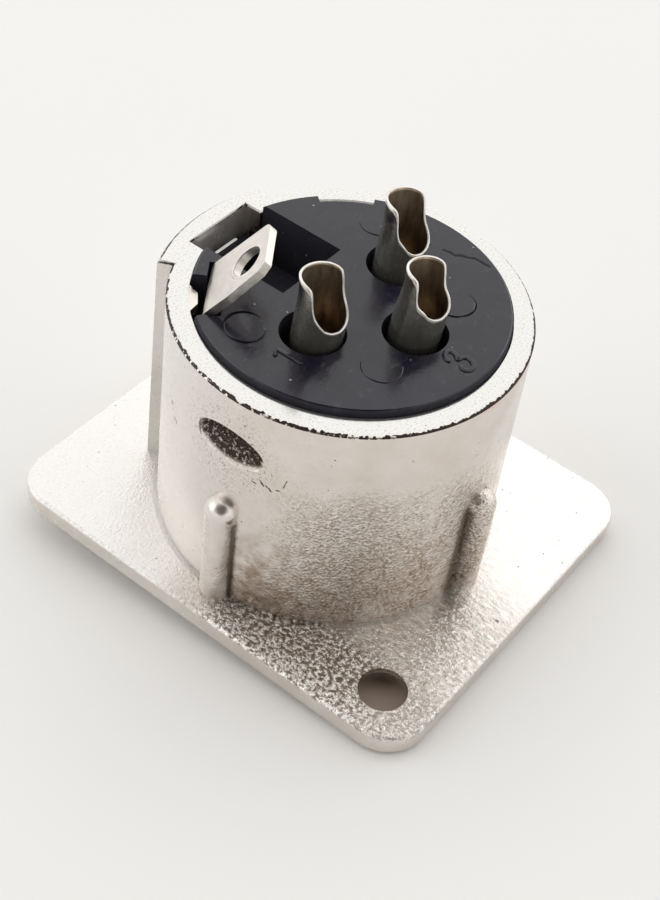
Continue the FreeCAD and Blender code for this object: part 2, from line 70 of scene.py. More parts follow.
def noise(tree, vector, scale, detail=3.0, rough=0.55, distortion=0.0):
    node = tree.nodes.new("ShaderNodeTexNoise")
    node.inputs["Scale"].default_value = scale
    node.inputs["Detail"].default_value = detail
    node.inputs["Roughness"].default_value = rough
    node.inputs["Distortion"].default_value = distortion
    link(tree, vector, node.inputs["Vector"])
    return node.outputs["Fac"]


def cells(tree, vector, scale):
    node = tree.nodes.new("ShaderNodeTexVoronoi")
    node.inputs["Scale"].default_value = scale
    link(tree, vector, node.inputs["Vector"])
    return node.outputs["Distance"]


def ramp(tree, value, stops):
    node = tree.nodes.new("ShaderNodeValToRGB")
    while len(node.color_ramp.elements) < len(stops):
        node.color_ramp.elements.new(0.5)
    for element, (place, color) in zip(node.color_ramp.elements, stops):
        element.position = place
        element.color = color if len(color) == 4 else (*color, 1.0)
    link(tree, value, node.inputs["Fac"])
    return node.outputs["Color"]


def grey(v):
    return (v, v, v, 1.0)


def span(tree, value, low, high):
    """Smooth step: 0 at low, 1 at high (low may be above high)."""
    node = tree.nodes.new("ShaderNodeMapRange")
    node.interpolation_type = "SMOOTHSTEP"
    node.inputs["From Min"].default_value = min(low, high)
    node.inputs["From Max"].default_value = max(low, high)
    node.inputs["To Min"].default_value = 0.0 if low < high else 1.0
    node.inputs["To Max"].default_value = 1.0 if low < high else 0.0
    link(tree, value, node.inputs["Value"])
    return node.outputs["Result"]


def math_node(tree, op, a, b=None, clamp=False):
    node = tree.nodes.new("ShaderNodeMath")
    node.operation = op
    node.use_clamp = clamp
    for slot_index, value in ((0, a), (1, b)):
        if value is None:
            continue
        if isinstance(value, (int, float)):
            node.inputs[slot_index].default_value = value
        else:
            link(tree, value, node.inputs[slot_index])
    return node.outputs["Value"]


def times(tree, first, *others):
    """Product of masks and numbers."""
    result = first
    for other in others:
        result = math_node(tree, "MULTIPLY", result, other)
    return result


def plus(tree, a, b):
    return math_node(tree, "ADD", a, b)


def rest_of(tree, mask):
    """1 where the mask is 0, and 0 where it is 1."""
    return math_node(tree, "SUBTRACT", 1.0, mask)


def larger(tree, a, b):
    return math_node(tree, "MAXIMUM", a, b)


def vector_node(tree, op, a, b=None, scale=None):
    node = tree.nodes.new("ShaderNodeVectorMath")
    node.operation = op
    for slot_index, value in ((0, a), (1, b)):
        if value is None:
            continue
        if isinstance(value, (tuple, Vector)):
            node.inputs[slot_index].default_value = tuple(value)
        else:
            link(tree, value, node.inputs[slot_index])
    if scale is not None:
        if isinstance(scale, (int, float)):
            node.inputs["Scale"].default_value = scale
        else:
            link(tree, scale, node.inputs["Scale"])
    plain = op in ("DOT_PRODUCT", "LENGTH", "DISTANCE")
    return node.outputs["Value" if plain else "Vector"]


def separate(tree, vector):
    node = tree.nodes.new("ShaderNodeSeparateXYZ")
    link(tree, vector, node.inputs["Vector"])
    return node.outputs["X"], node.outputs["Y"], node.outputs["Z"]


def mix_color(tree, factor, a, b):
    node = tree.nodes.new("ShaderNodeMix")
    node.data_type = "RGBA"
    for name, value in (("Factor", factor), ("A", a), ("B", b)):
        named = [s for s in node.inputs if s.name == name]
        socket = named[0] if name == "Factor" else [s for s in named if s.type == "RGBA"][0]
        if isinstance(value, (int, float)):
            socket.default_value = value
        elif isinstance(value, tuple):
            socket.default_value = value if len(value) == 4 else (*value, 1.0)
        else:
            link(tree, value, socket)
    return [s for s in node.outputs if s.type == "RGBA"][0]


def mix_float(tree, factor, a, b):
    node = tree.nodes.new("ShaderNodeMix")
    node.data_type = "FLOAT"
    for socket, value in ((node.inputs[0], factor), (node.inputs[2], a), (node.inputs[3], b)):
        if isinstance(value, (int, float)):
            socket.default_value = value
        else:
            link(tree, value, socket)
    return node.outputs[0]


def bump(tree, height, strength, distance, below=None):
    node = tree.nodes.new("ShaderNodeBump")
    if isinstance(strength, (int, float)):
        node.inputs["Strength"].default_value = strength
    else:
        link(tree, strength, node.inputs["Strength"])
    node.inputs["Distance"].default_value = distance
    link(tree, height, node.inputs["Height"])
    if below is not None:
        link(tree, below, node.inputs["Normal"])
    return node.outputs["Normal"]


def stroke(tree, vector, a, b, width, wobble=None):
    """1 along the line a-b, falling to 0 at the given width, all in millimetres."""
    if wobble is not None:
        vector = vector_node(tree, "ADD", vector, wobble)
    reach = tuple(q - p for p, q in zip(a, b))
    length2 = sum(c * c for c in reach)
    offset = vector_node(tree, "SUBTRACT", vector, a)
    along = math_node(tree, "DIVIDE", vector_node(tree, "DOT_PRODUCT", offset, reach), length2, clamp=True)
    nearest = vector_node(tree, "SCALE", reach, scale=along)
    gap = vector_node(tree, "LENGTH", vector_node(tree, "SUBTRACT", offset, nearest))
    return span(tree, gap, width, width * 0.3)


def most(tree, values):
    result = values[0]
    for value in values[1:]:
        result = larger(tree, result, value)
    return result


def wobble_of(tree, vector, scale, amount):
    node = tree.nodes.new("ShaderNodeTexNoise")
    node.inputs["Scale"].default_value = scale
    node.inputs["Detail"].default_value = 2.0
    link(tree, vector, node.inputs["Vector"])
    centred = vector_node(tree, "SUBTRACT", node.outputs["Color"], (0.5, 0.5, 0.5))
    return vector_node(tree, "SCALE", centred, scale=amount)


# Radius of the body near its middle, in millimetres
BODY_R = 10.75


def on_body(deg, z, r=BODY_R):
    a = math.radians(deg)
    return (r * math.cos(a), r * math.sin(a), z)


# Small nicks on the casting: two end points and a width
NICKS = (
    (on_body(150.2, 11.35), on_body(151.8, 10.95), 0.09),
    (on_body(153.2, 10.55), on_body(154.6, 10.35), 0.11),
    (on_body(-159.6, 11.9), on_body(-160.4, 11.3), 0.08),
    (on_body(-161.2, 10.9), on_body(-163.0, 10.95), 0.09),
    (on_body(-97.8, 12.5), on_body(-98.9, 12.45), 0.07),
    (on_body(-85.6, 12.2), on_body(-86.4, 11.8), 0.08),
    (on_body(-106.2, 13.3), on_body(-106.4, 13.25), 0.06),
    (on_body(-168.5, 11.3), on_body(-166.6, 10.9), 0.11),
    (on_body(-165.5, 11.0), on_body(-164.2, 10.7), 0.09),
    (on_body(-170.5, 10.9), on_body(-168.9, 10.8), 0.07),
    ((-1.19, -14.42, 0.0), (-1.1, -14.4, 0.0), 0.12),
)


# Painted shade beside the ribs where they meet the body: two end points and a width
RIB_SHADES = (
    (on_body(-174.3, 0.4, 10.9), on_body(-174.9, 6.6, 10.95), 0.34),
    (on_body(-97.6, 0.4, 10.9), on_body(-96.4, 7.3, 10.9), 0.55),
    (on_body(-175.6, 7.2, 11.2), on_body(-177.0, 7.5, 11.2), 0.28),
)


# Places on the casting, in millimetres
DENT_AT = (-10.4, 0.0, 12.5)
DENT_EDGE = (2.75, 2.3)
DENT_HALO = (4.3, 2.2)
DENT_BOTTOM = (10.66, 10.5)
SEAM_SHADE_FOOT = (16.12, 16.15)
SEAM_SHADE_HEAD = (16.175, 16.155)
RIM_FACE = (16.2, 16.36)
RIM_ROUND = (16.215, 16.255)

# Level direction towards the picture's left side of the body
LEFTWARD = (-0.524, 0.851, 0.0)


# Cast and plated surfaces
def blend_normal(tree, factor, below, aim):
    """Turns the shading normal towards a fixed direction where an edge is rounded."""
    from_below = vector_node(tree, "SCALE", below, scale=rest_of(tree, factor))
    toward = vector_node(tree, "SCALE", aim, scale=factor)
    return vector_node(tree, "NORMALIZE", vector_node(tree, "ADD", from_below, toward))


def casting_zones(tree, v):
    """Masks for the parts of the casting, from its coordinates in millimetres."""
    x, y, z = separate(tree, v)
    outward = vector_node(tree, "LENGTH", vector_node(tree, "MULTIPLY", v, (1.0, 1.0, 0.0)))
    zone = SimpleNamespace(x=x, z=z, outward=outward)
    zone.wall = span(tree, z, 0.05, 0.35)
    zone.above = span(tree, z, -0.3, -0.15)
    zone.flat = times(tree, span(tree, z, 0.35, 0.05), zone.above)
    zone.front = times(tree, zone.flat, span(tree, y, -6.0, -9.5))
    fading = mix_float(tree, span(tree, y, -10.5, -13.5), 1.0, 0.45)
    zone.near = times(tree, zone.flat, span(tree, x, -7.0, -9.6), span(tree, y, 1.5, -2.5), fading)
    side = span(tree, vector_node(tree, "DOT_PRODUCT", v, LEFTWARD), 3.0, 9.0)
    zone.left = times(tree, side, span(tree, outward, 9.9, 10.3))
    away = larger(tree, span(tree, x, -4.0, 3.0), span(tree, y, 0.0, 4.0))
    zone.clean = times(tree, zone.flat, away)
    zone.rim = span(tree, z, *RIM_FACE)
    zone.foot = times(tree, span(tree, z, 9.0, 2.0), zone.wall)
    zone.lit_side = span(tree, y, -8.0, -9.8)
    zone.belly = times(
        tree, span(tree, z, 13.0, 9.0), zone.wall, span(tree, x, 4.5, -0.5), span(tree, y, -1.5, -6.0)
    )
    gap = vector_node(tree, "DISTANCE", v, DENT_AT)
    worn_gap = plus(tree, gap, times(tree, noise(tree, v, 2.4, 2.0), 0.5))
    zone.dent = times(tree, span(tree, worn_gap, *DENT_EDGE), span(tree, outward, *DENT_BOTTOM))
    zone.around = times(tree, span(tree, gap, *DENT_HALO), zone.wall)
    return zone


def casting_grain(tree, v):
    """Noise that the colour and the relief of the casting share."""
    return SimpleNamespace(
        sand=noise(tree, v, 5.0, 2.5, 0.68, 0.2),
        fine=noise(tree, v, 7.5, 2.0, 0.6, 0.3),
        ripples=noise(tree, v, 2.7, 3.0, 0.6, 0.9),
        streaks=noise(tree, mm_coords(tree, (1.0, 0.34, 1.0)), 4.2, 3.0, 0.65, 0.5),
        coarse=noise(tree, v, 4.4, 3.0, 0.7, 0.5),
        soft=noise(tree, v, 1.1, 2.0),
        grit=noise(tree, mm_coords(tree, (1.0, 0.75, 1.0)), 4.3, 3.0, 0.72, 0.2),
    )


def casting_flaws(tree, v, zone):
    """Masks of all dark marks, flaws with the painted shade in the corner at the flange; of the ragged band
    under the rim alone, parting line and painted shade together; and of the painted shade beside the ribs.
    """
    patches = span(tree, noise(tree, v, 0.9, 2.0), 0.48, 0.56)
    pits = times(tree, span(tree, cells(tree, v, 1.5), 0.085, 0.05), patches, zone.above)
    wobble = wobble_of(tree, v, 4.0, 0.35)
    nicks = [stroke(tree, v, a, b, width, wobble) for a, b, width in NICKS]
    rib_shades = most(tree, [stroke(tree, v, a, b, width, wobble) for a, b, width in RIB_SHADES])
    ragged = noise(tree, v, 3.4, 2.0)
    # The parting line under the rim, with the shade under the rim's edge painted into it as a ragged
    # near-black band
    seam_shade_top = plus(tree, zone.z, times(tree, ragged, -0.26))
    broken = span(tree, plus(tree, ragged, times(tree, zone.lit_side, 0.3)), 0.40, 0.46)
    band = times(tree, span(tree, zone.z, *SEAM_SHADE_FOOT), span(tree, seam_shade_top, *SEAM_SHADE_HEAD))
    seam_and_shade = times(tree, band, broken, span(tree, zone.outward, 10.3, 10.4))
    # Painted shade in the corner where the wall meets the flange
    base_corner_shade = times(tree, span(tree, zone.z, 0.3, 0.12), span(tree, zone.z, -0.05, 0.0))
    base_corner_shade = times(tree, base_corner_shade, span(tree, zone.outward, 11.15, 10.95))
    dark = most(tree, nicks + [times(tree, pits, 0.85), seam_and_shade, times(tree, base_corner_shade, 0.18)])
    return dark, seam_and_shade, rib_shades


def casting_color(tree, v, zone, grain, dark, rib_shades):
    broad = noise(tree, v, 0.45, 3.0, 0.6)
    tone = ramp(tree, broad, [(0.3, (0.70, 0.635, 0.58)), (0.7, (0.78, 0.735, 0.69))])
    tone = mix_color(tree, zone.clean, tone, (0.90, 0.88, 0.855))
    specks = times(tree, span(tree, grain.fine, 0.42, 0.30), zone.flat, 0.22)
    color = mix_color(tree, specks, tone, (0.36, 0.30, 0.25))

    # Painted shade: the lower wall darkened brown in patches, except on the left, as the shade and dark
    # reflection near the flange
    patches = span(tree, grain.soft, 0.3, 0.65)
    painted_foot_shade = times(tree, zone.foot, patches, rest_of(tree, zone.left), 0.85)
    color = mix_color(tree, painted_foot_shade, color, (0.29, 0.19, 0.12))
    stops = [(0.40, (0.27, 0.195, 0.135)), (0.50, (0.60, 0.515, 0.44)), (0.60, (0.98, 0.95, 0.91))]
    sanded = ramp(tree, grain.sand, stops)
    color = mix_color(tree, times(tree, zone.belly, span(tree, grain.soft, 0.3, 0.6), 0.6), color, sanded)

    stops = [(0.36, (0.58, 0.51, 0.45)), (0.5, (0.76, 0.72, 0.675)), (0.62, (0.88, 0.86, 0.83))]
    lines = ramp(tree, grain.streaks, stops)
    drawn = times(tree, zone.front, mix_float(tree, zone.clean, 0.85, 0.25))
    color = mix_color(tree, drawn, color, lines)
    lifted = plus(tree, grain.grit, times(tree, span(tree, zone.x, -10.6, -12.8), 0.05))
    stops = [(0.42, (0.12, 0.085, 0.062)), (0.50, (0.40, 0.33, 0.27)), (0.57, (1.0, 0.98, 0.95))]
    grains = ramp(tree, lifted, stops)
    color = mix_color(tree, times(tree, zone.near, 0.9), color, grains)

    # Painted light: the left of the wall made paler, and paler still towards its foot
    painted_left_light = mix_color(tree, zone.foot, (0.78, 0.745, 0.71), (0.93, 0.885, 0.84))
    color = mix_color(tree, times(tree, zone.left, zone.wall), color, painted_left_light)
    peppered = larger(tree, zone.belly, zone.around)
    peppers = times(tree, span(tree, grain.fine, 0.42, 0.33), peppered, 0.72)
    color = mix_color(tree, peppers, color, (0.17, 0.125, 0.09))
    # Painted shade beside the ribs
    color = mix_color(tree, times(tree, rib_shades, 0.8), color, (0.14, 0.10, 0.07))

    blushed = span(tree, noise(tree, v, 0.5, 1.0), 0.46, 0.6)
    blush = times(tree, span(tree, zone.z, 15.55, 16.1), blushed, zone.lit_side, 0.5)
    color = mix_color(tree, blush, color, (0.76, 0.50, 0.45))
    stops = [(0.33, (0.58, 0.565, 0.54)), (0.42, (0.70, 0.69, 0.67)), (0.7, (0.75, 0.74, 0.72))]
    pale = ramp(tree, grain.fine, stops)
    color = mix_color(tree, zone.rim, color, pale)
    # Near-black for the flaws, with painted shade in the band under the rim and in the corner at the flange
    color = mix_color(tree, dark, color, (0.06, 0.045, 0.04))
    # The dent's floor darkened in patches
    darkened_dent = times(tree, zone.dent, span(tree, grain.coarse, 0.63, 0.53))
    return mix_color(tree, darkened_dent, color, (0.062, 0.043, 0.03))


def casting_relief(tree, zone, grain, dark, seam_and_shade):
    low = bump(tree, grain.soft, 0.25, 0.0001)
    low = bump(tree, grain.ripples, times(tree, zone.around, 0.6), 0.00011, low)
    sanded = times(tree, larger(tree, zone.belly, times(tree, zone.foot, 0.25)), 0.8)
    low = bump(tree, grain.sand, sanded, 0.00011, low)
    lined = plus(tree, times(tree, grain.streaks, 0.7), times(tree, grain.grit, 0.3))
    height = mix_float(tree, zone.near, mix_float(tree, zone.front, grain.sand, lined), grain.grit)
    strength = mix_float(tree, zone.clean, mix_float(tree, zone.flat, 0.05, 1.0), 0.4)
    low = bump(tree, height, strength, 0.00017, low)
    low = bump(tree, grain.coarse, zone.dent, 0.0005, low)
    low = bump(tree, rest_of(tree, dark), 0.6, 0.00006, low)
    rounded = times(tree, span(tree, zone.z, *RIM_ROUND), rest_of(tree, seam_and_shade), 0.9)
    return blend_normal(tree, rounded, low, (0.0, 0.0, 1.0))


def nickel_casting():
    mat, tree, shader = new_material("nickel_casting")
    v = mm_coords(tree)
    zone = casting_zones(tree, v)
    grain = casting_grain(tree, v)
    dark, seam_and_shade, rib_shades = casting_flaws(tree, v, zone)
    link(tree, casting_color(tree, v, zone, grain, dark, rib_shades), shader.inputs["Base Color"])
    satin = mix_float(tree, zone.rim, mix_float(tree, zone.left, 1.0, 0.5), 0.92)
    link(tree, satin, shader.inputs["Metallic"])
    rough = ramp(tree, grain.soft, [(0.3, grey(0.21)), (0.7, grey(0.28))])
    rough = mix_color(tree, zone.rim, rough, grey(0.15))
    link(tree, mix_color(tree, dark, rough, grey(0.6)), shader.inputs["Roughness"])
    link(tree, casting_relief(tree, zone, grain, dark, seam_and_shade), shader.inputs["Normal"])
    return mat


# Jagged dark line beside the second contact
DARK_LINE_POINTS = (
    (7.04, -1.42), (7.11, -1.85), (7.10, -2.22), (7.35, -2.41),
    (7.46, -2.84), (7.72, -3.24), (7.71, -3.61), (7.72, -4.25),
)

# Height of the insert's face, in millimetres
FACE_Z = 16.85


def black_moulding():
    mat, tree, shader = new_material("black_moulding")
    v = mm_coords(tree)
    fine = noise(tree, v, 9.0, 3.0)
    broad = noise(tree, v, 0.7, 3.0)
    scuff = noise(tree, mm_coords(tree, (0.5, 1.0, 1.0)), 2.2, 4.0, 0.65, 0.6)
    color = ramp(tree, broad, [(0.3, (0.010, 0.0085, 0.018)), (0.7, (0.017, 0.015, 0.026))])
    color = mix_color(tree, span(tree, scuff, 0.56, 0.74), color, (0.038, 0.036, 0.048))
    dusty = span(tree, noise(tree, v, 0.8, 1.0), 0.42, 0.50)
    dust = times(tree, span(tree, cells(tree, v, 0.85), 0.085, 0.03), dusty)
    color = mix_color(tree, times(tree, dust, 0.8), color, (0.46, 0.45, 0.45))
    wobble = wobble_of(tree, v, 2.6, 0.16)
    pairs = zip(DARK_LINE_POINTS, DARK_LINE_POINTS[1:])
    dark_line = most(tree, [stroke(tree, v, (*a, FACE_Z), (*b, FACE_Z), 0.15, wobble) for a, b in pairs])
    color = mix_color(tree, times(tree, dark_line, 0.9), color, (0.006, 0.005, 0.007))
    link(tree, color, shader.inputs["Base Color"])
    gloss = ramp(tree, scuff, [(0.35, grey(0.13)), (0.65, grey(0.23))])
    gloss = mix_color(tree, dark_line, gloss, grey(0.75))
    side = span(tree, separate(tree, v)[2], 16.82, 16.76)
    link(tree, mix_color(tree, side, gloss, grey(0.8)), shader.inputs["Roughness"])
    low = bump(tree, broad, 0.10, 0.0002)
    low = bump(tree, fine, 0.12, 0.00003, low)
    low = bump(tree, math_node(tree, "SUBTRACT", dust, dark_line), 0.6, 0.00008, low)
    link(tree, low, shader.inputs["Normal"])
    return mat


# name: foot centre, centre at the face, lean per mm, radius low and high, turn of the mouth in
# degrees, rise of the lip; in millimetres
CUPS = {
    "contact_1": ((-4.07, -0.25), (-3.98, -0.49), (-0.040, -0.064), 1.48, 1.34, -92.5, 0.0),
    "contact_2": ((4.07, -0.25), (4.11, -0.20), (0.100, 0.030), 1.46, 1.28, -92.5, 0.35),
    "contact_3": ((0.0, -4.4), (0.16, -4.30), (0.050, -0.040), 1.49, 1.22, -94.0, 0.60),
}
CUP_WALL = 0.11


def plated_contact():
    """Finish by the zone written on the faces: 0 outside, 1 inside the cup, 2 the cut edge."""
    mat, tree, shader = new_material("plated_contact")
    v = mm_coords(tree)
    z = separate(tree, v)[2]
    written = tree.nodes.new("ShaderNodeAttribute")
    written.attribute_name = "zone"
    zone = written.outputs["Fac"]
    inner = times(tree, span(tree, zone, 0.2, 0.8), span(tree, zone, 1.8, 1.2))
    edge = span(tree, zone, 1.2, 1.8)
    streak = noise(tree, mm_coords(tree, (1.0, 1.0, 0.22)), 2.6, 3.0)
    patch = noise(tree, v, 1.2, 3.0)
    color = ramp(tree, streak, [(0.3, (0.34, 0.32, 0.285)), (0.7, (0.54, 0.52, 0.475))])
    # Painted reflection: the outside of the cup darkened towards its foot, as the dark insert reflected in
    # it
    painted_dark_reflection = times(tree, span(tree, z, 20.6, 17.8), rest_of(tree, inner))
    color = mix_color(tree, times(tree, painted_dark_reflection, 0.75), color, (0.13, 0.125, 0.108))
    # Painted reflection: the inside of the cup coloured warm brown
    painted_warm_reflection = ramp(tree, streak, [(0.3, (0.27, 0.195, 0.13)), (0.7, (0.52, 0.42, 0.31))])
    color = mix_color(tree, inner, color, painted_warm_reflection)
    # Painted highlight: the cut edge coloured near white
    cut = mix_color(tree, span(tree, patch, 0.35, 0.6), (0.80, 0.76, 0.71), (0.97, 0.95, 0.92))
    color = mix_color(tree, edge, color, cut)
    link(tree, color, shader.inputs["Base Color"])
    metal = mix_float(tree, edge, mix_float(tree, inner, mix_float(tree, painted_dark_reflection, 1.0, 0.7), 0.85), 0.45)
    link(tree, metal, shader.inputs["Metallic"])
    rough = ramp(tree, patch, [(0.3, grey(0.17)), (0.7, grey(0.28))])
    rough = mix_color(tree, inner, rough, grey(0.32))
    link(tree, mix_color(tree, edge, rough, grey(0.4)), shader.inputs["Roughness"])
    low = bump(tree, patch, 0.12, 0.0002)
    link(tree, bump(tree, streak, 0.12, 0.00004, low), shader.inputs["Normal"])
    return mat


def tinned_strip(name, tone):
    mat, tree, shader = new_material(name)
    v = mm_coords(tree)
    shader.inputs["Metallic"].default_value = 1.0
    soft = noise(tree, v, 2.0, 4.0)
    brushed = noise(tree, mm_coords(tree, (1.0, 1.0, 0.2)), 7.0, 3.0)
    dark = tuple(c * 0.88 for c in tone)
    link(tree, ramp(tree, soft, [(0.3, dark), (0.65, tone)]), shader.inputs["Base Color"])
    link(tree, ramp(tree, soft, [(0.3, grey(0.30)), (0.7, grey(0.42))]), shader.inputs["Roughness"])
    low = bump(tree, soft, 0.15, 0.0001)
    link(tree, bump(tree, brushed, 0.12, 0.00003, low), shader.inputs["Normal"])
    return mat


def black_rubber():
    mat, tree, shader = new_material("black_rubber")
    v = mm_coords(tree)
    soft = noise(tree, v, 3.0, 4.0)
    link(tree, ramp(tree, soft, [(0.3, grey(0.012)), (0.7, grey(0.03))]), shader.inputs["Base Color"])
    link(tree, ramp(tree, soft, [(0.3, grey(0.6)), (0.7, grey(0.8))]), shader.inputs["Roughness"])
    link(tree, bump(tree, noise(tree, v, 8.0, 2.0), 0.3, 0.00004), shader.inputs["Normal"])
    return mat


def dress(node, mat):
    data = nodes[node].data
    if data.materials:
        for index in range(len(data.materials)):
            data.materials[index] = mat
    else:
        data.materials.append(mat)
    for slot_item in nodes[node].material_slots:
        slot_item.material = mat


NICKEL = nickel_casting()
PLASTIC = black_moulding()
CONTACT = plated_contact()
TAG = tinned_strip("tinned_tag", (0.80, 0.765, 0.72))
LEVER = tinned_strip("plated_lever", (0.74, 0.70, 0.66))
STEEL = tinned_strip("spring_strip", (0.80, 0.79, 0.77))
RUBBER = black_rubber()

dress("shell", NICKEL)
dress("insert", PLASTIC)
for number in (1, 2, 3):
    dress("contact_%d" % number, CONTACT)
dress("ground_tag", TAG)
dress("latch_lever", LEVER)
dress("latch_pin", STEEL)
dress("latch_spring", STEEL)
dress("cushion_ring", RUBBER)


def add_piece(name, mesh, mat, smooth=True):
    obj = bpy.data.objects.new(name, mesh)
    bpy.context.scene.collection.objects.link(obj)
    mesh.materials.append(mat)
    if smooth:
        for polygon in mesh.polygons:
            polygon.use_smooth = True
    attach(obj, "socket")
    return obj


# Contacts: turned sleeve with two slots, collar, and a solder cup with a scooped mouth; in millimetres
SLEEVE_Z = -0.6
SLOT_TOP_Z = 6.5
BORE_TOP_Z = 10.6
COLLAR_Z0 = 12.4
COLLAR_Z1 = 13.3
PIN_R = 1.2
SLEEVE_R = 1.55
COLLAR_R = 1.89
CUP_FLOOR_Z = 15.8

# Height of the cut edge against the angle from the middle of the mouth
MOUTH = (
    (0.0, 17.98), (22.0, 18.08), (40.0, 18.30), (55.0, 18.72), (68.0, 19.18), (76.0, 19.72), (79.5, 20.2),
    (82.0, 20.6), (88.0, 20.95), (100.0, 21.08), (120.0, 21.15), (150.0, 21.22), (180.0, 21.26),
)


def mm_vert(bm, x, y, z):
    return bm.verts.new((x * MM, y * MM, z * MM))


def lathe(bm, profile, cx, cy, count=64, a0=0.0, a1=2.0 * math.pi):
    """Turns a closed (r, z) profile round the vertical axis at cx, cy."""
    whole = abs(a1 - a0 - 2.0 * math.pi) < 1e-6
    columns = count if whole else count + 1
    rings = []
    for step in range(columns):
        a = a0 + (a1 - a0) * step / count
        rings.append([mm_vert(bm, cx + r * math.cos(a), cy + r * math.sin(a), z) for r, z in profile])
    n = len(profile)
    for step in range(columns if whole else columns - 1):
        near = rings[step]
        away = rings[(step + 1) % columns]
        for k in range(n):
            bm.faces.new((near[k], away[k], away[(k + 1) % n], near[(k + 1) % n]))
    if not whole:
        bm.faces.new(list(reversed(rings[0])))
        bm.faces.new(rings[-1])


def mouth_height(deg, lift):
    """Height of the cut edge: the table, softened, with the lip raised by lift."""
    total = 0.0
    for step in range(-4, 5):
        d = abs(deg + step * 0.8)
        d = min(d, 360.0 - d)
        for (a0, z0), (a1, z1) in zip(MOUTH, MOUTH[1:]):
            if a0 <= d <= a1:
                total += z0 + (z1 - z0) * (d - a0) / (a1 - a0)
                break
    near_lip = min(max((86.0 - deg) / 40.0, 0.0), 1.0)
    return total / 9.0 + lift * near_lip * near_lip * (3.0 - 2.0 * near_lip)


def mouth_curve(radius, lift, count):
    """Cut edge of the cup as (angle from the mouth, height), evenly spaced, round the back and home."""
    dense = [(math.pi * step / 2000.0, mouth_height(180.0 * step / 2000.0, lift)) for step in range(2001)]
    walk = [0.0]
    for (a0, z0), (a1, z1) in zip(dense, dense[1:]):
        walk.append(walk[-1] + math.hypot(radius * (a1 - a0), z1 - z0))
    half = count // 2
    out = []
    k = 0
    for step in range(half + 1):
        goal = walk[-1] * step / half
        while k < len(walk) - 2 and walk[k + 1] < goal:
            k += 1
        t = (goal - walk[k]) / max(walk[k + 1] - walk[k], 1e-9)
        (a0, z0), (a1, z1) = dense[k], dense[k + 1]
        out.append((a0 + t * (a1 - a0), z0 + t * (z1 - z0)))
    return out + [(2.0 * math.pi - a, z) for a, z in reversed(out[1:-1])]


def cup_wall(bm, zone, foot, centre, lean, low_r, high_r, turn, lift):
    count = 128
    rim = mouth_curve(low_r, lift, count)
    rows = 30
    face = math.radians(turn)

    def place(a, z, wall):
        t = min(max((z - COLLAR_Z1) / 2.5, 0.0), 1.0)
        t = t * t * (3.0 - 2.0 * t)
        cx = foot[0] + (centre[0] + lean[0] * (z - FACE_Z) - foot[0]) * t
        cy = foot[1] + (centre[1] + lean[1] * (z - FACE_Z) - foot[1]) * t
        up_share = min(max((z - 17.5) / 3.7, 0.0), 1.0)
        r = low_r + (high_r - low_r) * up_share + wall
        azimuth = math.degrees(a + face) % 360.0
        lip = math.exp(-((azimuth - 302.0) / 26.0) ** 2) * math.exp(-((z - 18.9) / 0.8) ** 2)
        crown = math.exp(-((azimuth - 122.0) / 34.0) ** 2) * min(max((z - 20.0) / 1.1, 0.0), 1.0)
        uneven = 1.0 + 0.010 * math.sin(2.0 * a + 0.7) + 0.008 * math.sin(3.0 * a + z)
        dented = r * uneven + 0.10 * lip + 0.13 * crown
        return ((cx + dented * math.cos(a + face)) * MM, (cy + dented * math.sin(a + face)) * MM, z * MM)

    def sheet_of(wall, z_foot, flare, mark):
        grid = []
        for row in range(rows + 1):
            h = row / rows
            line = []
            for k, (a, z_rim) in enumerate(rim):
                even = 2.0 * math.pi * k / count
                mixed = even + (a - even) * h ** 1.5
                z = z_foot + (z_rim - z_foot) * h
                near_rim = max(0.0, 1.0 - (z_rim - z) / 0.4)
                line.append(bm.verts.new(place(mixed, z, wall + flare * near_rim ** 2)))
            grid.append(line)
        for row in range(rows):
            for k in range(count):
                n = (k + 1) % count
                face_made = bm.faces.new((grid[row][k], grid[row][n], grid[row + 1][n], grid[row + 1][k]))
                face_made[zone] = mark
        return grid

    outer = sheet_of(0.0, COLLAR_Z1 - 0.3, 0.02, 0.0)
    inner = sheet_of(-CUP_WALL, CUP_FLOOR_Z, -0.01, 1.0)
    crest = []
    for k, (a, z_rim) in enumerate(rim):
        middle = Vector(place(a, z_rim, -CUP_WALL / 2.0))
        crest.append(bm.verts.new(middle + Vector((0.0, 0.0, 0.012 * MM))))
    for k in range(count):
        n = (k + 1) % count
        bm.faces.new((outer[-1][k], outer[-1][n], crest[n], crest[k]))[zone] = 2.0
        bm.faces.new((crest[k], crest[n], inner[-1][n], inner[-1][k]))[zone] = 2.0
    bm.faces.new(inner[0])[zone] = 1.0
    bm.faces.new(list(reversed(outer[0])))


